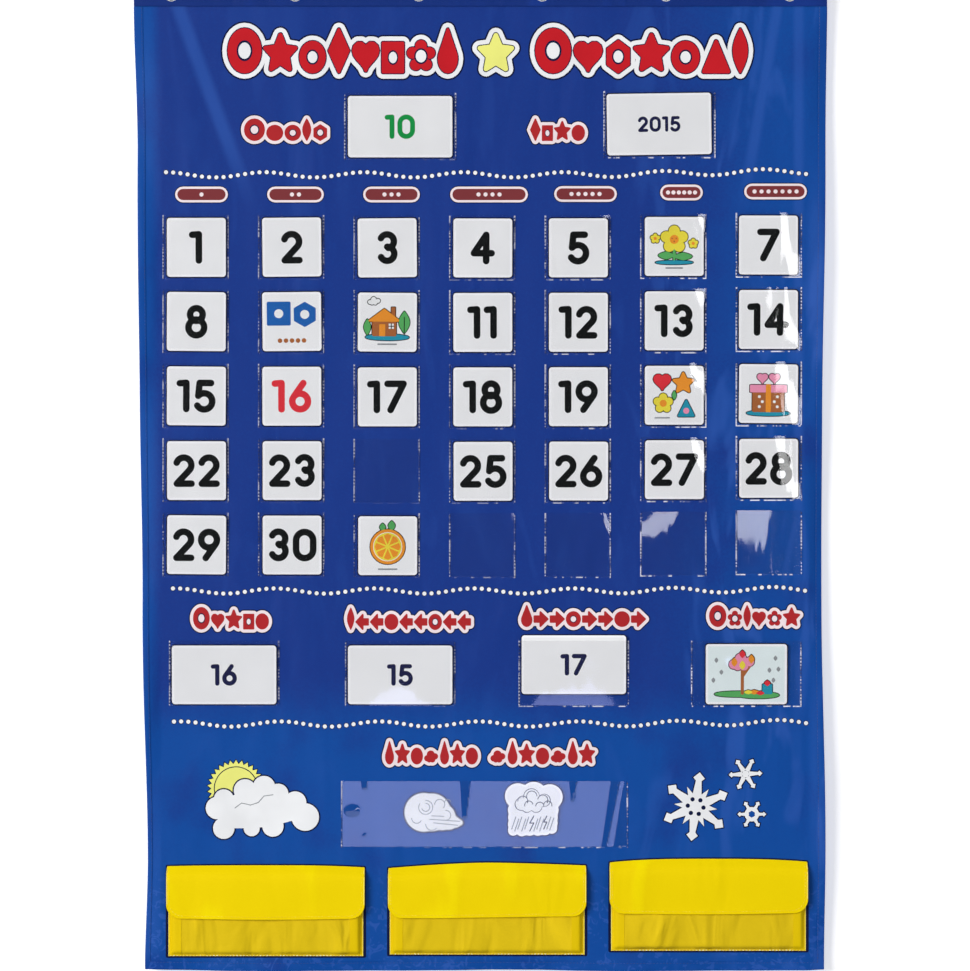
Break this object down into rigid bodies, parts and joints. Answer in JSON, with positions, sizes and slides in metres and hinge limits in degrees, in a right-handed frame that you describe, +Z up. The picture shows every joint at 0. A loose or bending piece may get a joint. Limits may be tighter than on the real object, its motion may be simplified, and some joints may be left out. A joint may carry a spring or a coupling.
{
  "type": "calendar pocket chart",
  "caption": "Hanging cloth calendar chart with clear card pockets in rows, lift-out cards, grommets along its header and flap pockets for spare cards at the bottom.",
  "frame": {"origin": "middle of the line through the grommet centres, on the plane of the wall that the chart hangs before", "axes": "+Z up, +X to the right seen from the front, the front faces -Y"},
  "size_m": [0.7276, 0.0125, 1.0383],
  "materials": {
    "blue_cloth": "woven nylon with a slight sheen",
    "header_cloth": "woven nylon, folded and stitched",
    "grommet_metal": "nickel-plated, rolled",
    "clear_vinyl": "clear and glossy",
    "yellow_cloth": "woven nylon",
    "flap_cloth": "woven nylon, two layers with a bound edge",
    "card_stock": "laminated card, satin"
  },
  "bodies": {
    "root": {"backing_sheet": "blue_cloth", "header_band": "header_cloth", "grommet_1": "grommet_metal", "grommet_2": "grommet_metal", "grommet_3": "grommet_metal", "grommet_4": "grommet_metal", "grommet_5": "grommet_metal", "grommet_6": "grommet_metal", "day_pocket_row_1": "clear_vinyl", "day_pocket_row_2": "clear_vinyl", "day_pocket_row_3": "clear_vinyl", "day_pocket_row_4": "clear_vinyl", "day_pocket_row_5": "clear_vinyl", "month_year_pockets": "clear_vinyl", "day_name_pockets": "clear_vinyl", "weather_pocket": "clear_vinyl", "storage_pocket_left": "yellow_cloth", "storage_pocket_middle": "yellow_cloth", "storage_pocket_right": "yellow_cloth"},
    "day_card_row1_column1": {"day_card_row1_column1": "card_stock"},
    "day_card_row1_column2": {"day_card_row1_column2": "card_stock"},
    "day_card_row1_column3": {"day_card_row1_column3": "card_stock"},
    "day_card_row1_column4": {"day_card_row1_column4": "card_stock"},
    "day_card_row1_column5": {"day_card_row1_column5": "card_stock"},
    "day_card_row1_column6": {"day_card_row1_column6": "card_stock"},
    "day_card_row1_column7": {"day_card_row1_column7": "card_stock"},
    "day_card_row2_column1": {"day_card_row2_column1": "card_stock"},
    "day_card_row2_column2": {"day_card_row2_column2": "card_stock"},
    "day_card_row2_column3": {"day_card_row2_column3": "card_stock"},
    "day_card_row2_column4": {"day_card_row2_column4": "card_stock"},
    "day_card_row2_column5": {"day_card_row2_column5": "card_stock"},
    "day_card_row2_column6": {"day_card_row2_column6": "card_stock"},
    "day_card_row2_column7": {"day_card_row2_column7": "card_stock"},
    "day_card_row3_column1": {"day_card_row3_column1": "card_stock"},
    "day_card_row3_column2": {"day_card_row3_column2": "card_stock"},
    "day_card_row3_column3": {"day_card_row3_column3": "card_stock"},
    "day_card_row3_column4": {"day_card_row3_column4": "card_stock"},
    "day_card_row3_column5": {"day_card_row3_column5": "card_stock"},
    "day_card_row3_column6": {"day_card_row3_column6": "card_stock"},
    "day_card_row3_column7": {"day_card_row3_column7": "card_stock"},
    "day_card_row4_column1": {"day_card_row4_column1": "card_stock"},
    "day_card_row4_column2": {"day_card_row4_column2": "card_stock"},
    "day_card_row4_column4": {"day_card_row4_column4": "card_stock"},
    "day_card_row4_column5": {"day_card_row4_column5": "card_stock"},
    "day_card_row4_column6": {"day_card_row4_column6": "card_stock"},
    "day_card_row4_column7": {"day_card_row4_column7": "card_stock"},
    "day_card_row5_column1": {"day_card_row5_column1": "card_stock"},
    "day_card_row5_column2": {"day_card_row5_column2": "card_stock"},
    "day_card_row5_column3": {"day_card_row5_column3": "card_stock"},
    "month_card": {"month_card": "card_stock"},
    "year_card": {"year_card": "card_stock"},
    "today_card": {"today_card": "card_stock"},
    "yesterday_card": {"yesterday_card": "card_stock"},
    "tomorrow_card": {"tomorrow_card": "card_stock"},
    "season_card": {"season_card": "card_stock"},
    "wind_cloud_card": {"wind_cloud_card": "card_stock"},
    "rain_cloud_card": {"rain_cloud_card": "card_stock"},
    "storage_flap_left": {"storage_flap_left": "flap_cloth"},
    "storage_flap_middle": {"storage_flap_middle": "flap_cloth"},
    "storage_flap_right": {"storage_flap_right": "flap_cloth"}
  },
  "joints": [
    {"name": "day_card_row1_column1_slide", "type": "slide", "parent": "root", "child": "day_card_row1_column1", "axis": [0, -0.0314, 0.9995], "range_m": [0, 0.068]},
    {"name": "day_card_row1_column2_slide", "type": "slide", "parent": "root", "child": "day_card_row1_column2", "axis": [0, -0.0314, 0.9995], "range_m": [0, 0.068]},
    {"name": "day_card_row1_column3_slide", "type": "slide", "parent": "root", "child": "day_card_row1_column3", "axis": [0, -0.0314, 0.9995], "range_m": [0, 0.068]},
    {"name": "day_card_row1_column4_slide", "type": "slide", "parent": "root", "child": "day_card_row1_column4", "axis": [0, -0.0314, 0.9995], "range_m": [0, 0.068]},
    {"name": "day_card_row1_column5_slide", "type": "slide", "parent": "root", "child": "day_card_row1_column5", "axis": [0, -0.0314, 0.9995], "range_m": [0, 0.068]},
    {"name": "day_card_row1_column6_slide", "type": "slide", "parent": "root", "child": "day_card_row1_column6", "axis": [0, -0.0314, 0.9995], "range_m": [0, 0.068]},
    {"name": "day_card_row1_column7_slide", "type": "slide", "parent": "root", "child": "day_card_row1_column7", "axis": [0, -0.0314, 0.9995], "range_m": [0, 0.068]},
    {"name": "day_card_row2_column1_slide", "type": "slide", "parent": "root", "child": "day_card_row2_column1", "axis": [0, -0.0314, 0.9995], "range_m": [0, 0.068]},
    {"name": "day_card_row2_column2_slide", "type": "slide", "parent": "root", "child": "day_card_row2_column2", "axis": [0, -0.0314, 0.9995], "range_m": [0, 0.068]},
    {"name": "day_card_row2_column3_slide", "type": "slide", "parent": "root", "child": "day_card_row2_column3", "axis": [0, -0.0314, 0.9995], "range_m": [0, 0.068]},
    {"name": "day_card_row2_column4_slide", "type": "slide", "parent": "root", "child": "day_card_row2_column4", "axis": [0, -0.0314, 0.9995], "range_m": [0, 0.068]},
    {"name": "day_card_row2_column5_slide", "type": "slide", "parent": "root", "child": "day_card_row2_column5", "axis": [0, -0.0314, 0.9995], "range_m": [0, 0.068]},
    {"name": "day_card_row2_column6_slide", "type": "slide", "parent": "root", "child": "day_card_row2_column6", "axis": [0, -0.0314, 0.9995], "range_m": [0, 0.068]},
    {"name": "day_card_row2_column7_slide", "type": "slide", "parent": "root", "child": "day_card_row2_column7", "axis": [0, -0.0314, 0.9995], "range_m": [0, 0.068]},
    {"name": "day_card_row3_column1_slide", "type": "slide", "parent": "root", "child": "day_card_row3_column1", "axis": [0, -0.0314, 0.9995], "range_m": [0, 0.068]},
    {"name": "day_card_row3_column2_slide", "type": "slide", "parent": "root", "child": "day_card_row3_column2", "axis": [0, -0.0314, 0.9995], "range_m": [0, 0.068]},
    {"name": "day_card_row3_column3_slide", "type": "slide", "parent": "root", "child": "day_card_row3_column3", "axis": [0, -0.0314, 0.9995], "range_m": [0, 0.068]},
    {"name": "day_card_row3_column4_slide", "type": "slide", "parent": "root", "child": "day_card_row3_column4", "axis": [0, -0.0314, 0.9995], "range_m": [0, 0.068]},
    {"name": "day_card_row3_column5_slide", "type": "slide", "parent": "root", "child": "day_card_row3_column5", "axis": [0, -0.0314, 0.9995], "range_m": [0, 0.068]},
    {"name": "day_card_row3_column6_slide", "type": "slide", "parent": "root", "child": "day_card_row3_column6", "axis": [0, -0.0314, 0.9995], "range_m": [0, 0.068]},
    {"name": "day_card_row3_column7_slide", "type": "slide", "parent": "root", "child": "day_card_row3_column7", "axis": [0, -0.0314, 0.9995], "range_m": [0, 0.068]},
    {"name": "day_card_row4_column1_slide", "type": "slide", "parent": "root", "child": "day_card_row4_column1", "axis": [0, -0.0314, 0.9995], "range_m": [0, 0.068]},
    {"name": "day_card_row4_column2_slide", "type": "slide", "parent": "root", "child": "day_card_row4_column2", "axis": [0, -0.0314, 0.9995], "range_m": [0, 0.068]},
    {"name": "day_card_row4_column4_slide", "type": "slide", "parent": "root", "child": "day_card_row4_column4", "axis": [0, -0.0314, 0.9995], "range_m": [0, 0.068]},
    {"name": "day_card_row4_column5_slide", "type": "slide", "parent": "root", "child": "day_card_row4_column5", "axis": [0, -0.0314, 0.9995], "range_m": [0, 0.068]},
    {"name": "day_card_row4_column6_slide", "type": "slide", "parent": "root", "child": "day_card_row4_column6", "axis": [0, -0.0314, 0.9995], "range_m": [0, 0.068]},
    {"name": "day_card_row4_column7_slide", "type": "slide", "parent": "root", "child": "day_card_row4_column7", "axis": [0, -0.0314, 0.9995], "range_m": [0, 0.068]},
    {"name": "day_card_row5_column1_slide", "type": "slide", "parent": "root", "child": "day_card_row5_column1", "axis": [0, -0.0314, 0.9995], "range_m": [0, 0.068]},
    {"name": "day_card_row5_column2_slide", "type": "slide", "parent": "root", "child": "day_card_row5_column2", "axis": [0, -0.0314, 0.9995], "range_m": [0, 0.068]},
    {"name": "day_card_row5_column3_slide", "type": "slide", "parent": "root", "child": "day_card_row5_column3", "axis": [0, -0.0314, 0.9995], "range_m": [0, 0.068]},
    {"name": "month_card_slide", "type": "slide", "parent": "root", "child": "month_card", "axis": [0, -0.0314, 0.9995], "range_m": [0, 0.0705]},
    {"name": "year_card_slide", "type": "slide", "parent": "root", "child": "year_card", "axis": [0, -0.0314, 0.9995], "range_m": [0, 0.0705]},
    {"name": "today_card_slide", "type": "slide", "parent": "root", "child": "today_card", "axis": [0, -0.0314, 0.9995], "range_m": [0, 0.0695]},
    {"name": "yesterday_card_slide", "type": "slide", "parent": "root", "child": "yesterday_card", "axis": [0, -0.0314, 0.9995], "range_m": [0, 0.0695]},
    {"name": "tomorrow_card_slide", "type": "slide", "parent": "root", "child": "tomorrow_card", "axis": [0, -0.0314, 0.9995], "range_m": [-0.0107, 0.0588]},
    {"name": "season_card_slide", "type": "slide", "parent": "root", "child": "season_card", "axis": [0, -0.0314, 0.9995], "range_m": [0, 0.0695]},
    {"name": "wind_cloud_card_slide", "type": "slide", "parent": "root", "child": "wind_cloud_card", "axis": [0, -0.0314, 0.9995], "range_m": [-0.0137, 0.0568]},
    {"name": "rain_cloud_card_slide", "type": "slide", "parent": "root", "child": "rain_cloud_card", "axis": [0, -0.0314, 0.9995], "range_m": [-0.0074, 0.0631]},
    {"name": "storage_flap_left_hinge", "type": "hinge", "parent": "root", "child": "storage_flap_left", "pos_m": [-0.22533, -0.00735, -0.9151], "axis": [-1, 0, 0], "range_deg": [0, 140]},
    {"name": "storage_flap_middle_hinge", "type": "hinge", "parent": "root", "child": "storage_flap_middle", "pos_m": [0.007, -0.00735, -0.9135], "axis": [-1, 0, 0], "range_deg": [0, 140]},
    {"name": "storage_flap_right_hinge", "type": "hinge", "parent": "root", "child": "storage_flap_right", "pos_m": [0.23933, -0.00735, -0.9095], "axis": [-1, 0, 0], "range_deg": [0, 140]}
  ]
}
